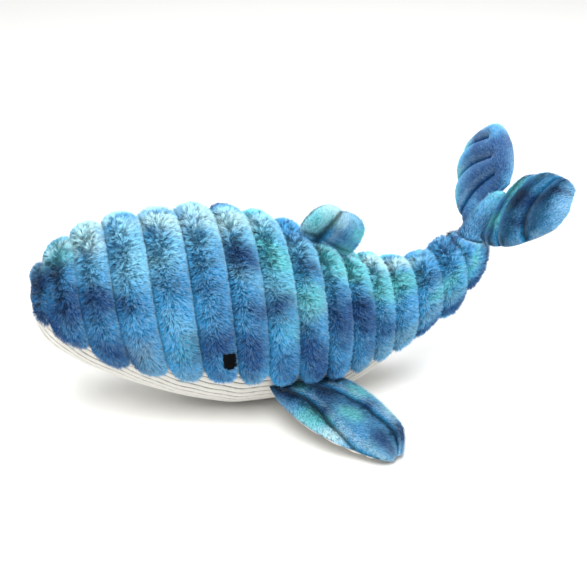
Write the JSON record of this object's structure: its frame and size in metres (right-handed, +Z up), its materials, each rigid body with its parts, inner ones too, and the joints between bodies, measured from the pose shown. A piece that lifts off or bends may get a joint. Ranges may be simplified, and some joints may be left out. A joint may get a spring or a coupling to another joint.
{
  "type": "plush whale",
  "caption": "Stuffed whale with a quilted tie-dye plush back, a ridged corduroy belly, square felt eyes and soft fins, flippers and flukes that flap at their seams.",
  "frame": {"origin": "on the table, in the middle of the flat of the belly on which the whale rests", "axes": "+X from the head to the tail, +Z up, the whale's left side at -Y"},
  "size_m": [0.4519, 0.3142, 0.211],
  "materials": {
    "plush_denim": "short-pile tie-dyed plush",
    "plush_blue": "short-pile tie-dyed plush",
    "plush_azure": "short-pile tie-dyed plush",
    "plush_sky": "short-pile tie-dyed plush",
    "plush_bright": "short-pile tie-dyed plush",
    "plush_steel": "short-pile tie-dyed plush",
    "plush_teal": "short-pile tie-dyed plush",
    "corduroy": "wide-wale off-white corduroy",
    "fibre": "white polyester fibre filling",
    "felt": "black felt"
  },
  "bodies": {
    "body": {"rib_01": "plush_denim", "rib_02": "plush_blue", "rib_03": "plush_azure", "rib_04": "plush_sky", "rib_05": "plush_bright", "rib_06": "plush_steel", "rib_07": "plush_teal", "rib_08": "plush_denim", "rib_09": "plush_blue", "rib_10": "plush_azure", "rib_11": "plush_sky", "rib_12": "plush_bright", "rib_13": "plush_steel", "rib_14": "plush_teal", "body_fill": "fibre", "tail_fill_front": "fibre", "belly_panel": "corduroy", "eye_left": "felt", "eye_right": "felt"},
    "tail_stock": {"rib_15": "plush_denim", "tail_fill_middle": "fibre", "rib_16": "plush_blue", "tail_fill_rear": "fibre"},
    "tail_end": {"fluke_root": "plush_bright"},
    "fluke_left": {"fluke_left_top": "plush_blue", "fluke_left_underside": "corduroy", "fluke_left_fill": "fibre"},
    "fluke_right": {"fluke_right_top": "plush_blue", "fluke_right_underside": "corduroy", "fluke_right_fill": "fibre"},
    "flipper_left": {"flipper_left_top": "plush_denim", "flipper_left_underside": "corduroy", "flipper_left_fill": "fibre"},
    "flipper_right": {"flipper_right_top": "plush_denim", "flipper_right_underside": "corduroy", "flipper_right_fill": "fibre"},
    "dorsal_fin": {"dorsal_fin_left_panel": "plush_sky", "dorsal_fin_right_panel": "plush_bright", "dorsal_fin_fill": "fibre"}
  },
  "joints": [
    {"name": "tail_swing", "type": "hinge", "parent": "body", "child": "tail_stock", "pos_m": [0.14124, 0, 0.08318], "axis": [0, 0, 1], "range_deg": [-20, 20], "stiffness_Nm_per_rad": 0.2, "deforming": ["rib_14", "tail_fill_front"]},
    {"name": "tail_lift", "type": "hinge", "parent": "tail_stock", "child": "tail_end", "pos_m": [0.18292, 0, 0.1174], "axis": [0, -1, 0], "range_deg": [-15, 12], "stiffness_Nm_per_rad": 0.2, "deforming": ["rib_16", "tail_fill_rear"]},
    {"name": "fluke_left_flap", "type": "hinge", "parent": "tail_end", "child": "fluke_left", "pos_m": [0.20415, -0.01, 0.15565], "axis": [0.5853, 0.1549, 0.7959], "range_deg": [-20, 20], "stiffness_Nm_per_rad": 0.1},
    {"name": "fluke_right_flap", "type": "hinge", "parent": "tail_end", "child": "fluke_right", "pos_m": [0.20415, 0.01, 0.15565], "axis": [-0.5853, 0.1549, -0.7959], "range_deg": [-20, 20], "stiffness_Nm_per_rad": 0.1},
    {"name": "flipper_left_flap", "type": "hinge", "parent": "body", "child": "flipper_left", "pos_m": [0.02617, -0.06001, 0.03487], "axis": [-0.9535, -0.274, 0.1258], "range_deg": [-2, 13], "stiffness_Nm_per_rad": 0.1},
    {"name": "flipper_right_flap", "type": "hinge", "parent": "body", "child": "flipper_right", "pos_m": [0.02617, 0.06001, 0.03487], "axis": [0.9535, -0.274, -0.1258], "range_deg": [-2, 13], "stiffness_Nm_per_rad": 0.1},
    {"name": "dorsal_fin_flop", "type": "hinge", "parent": "body", "child": "dorsal_fin", "pos_m": [0.05145, 0, 0.1366], "axis": [0.8729, 0, -0.4878], "range_deg": [-25, 25], "stiffness_Nm_per_rad": 0.03}
  ]
}
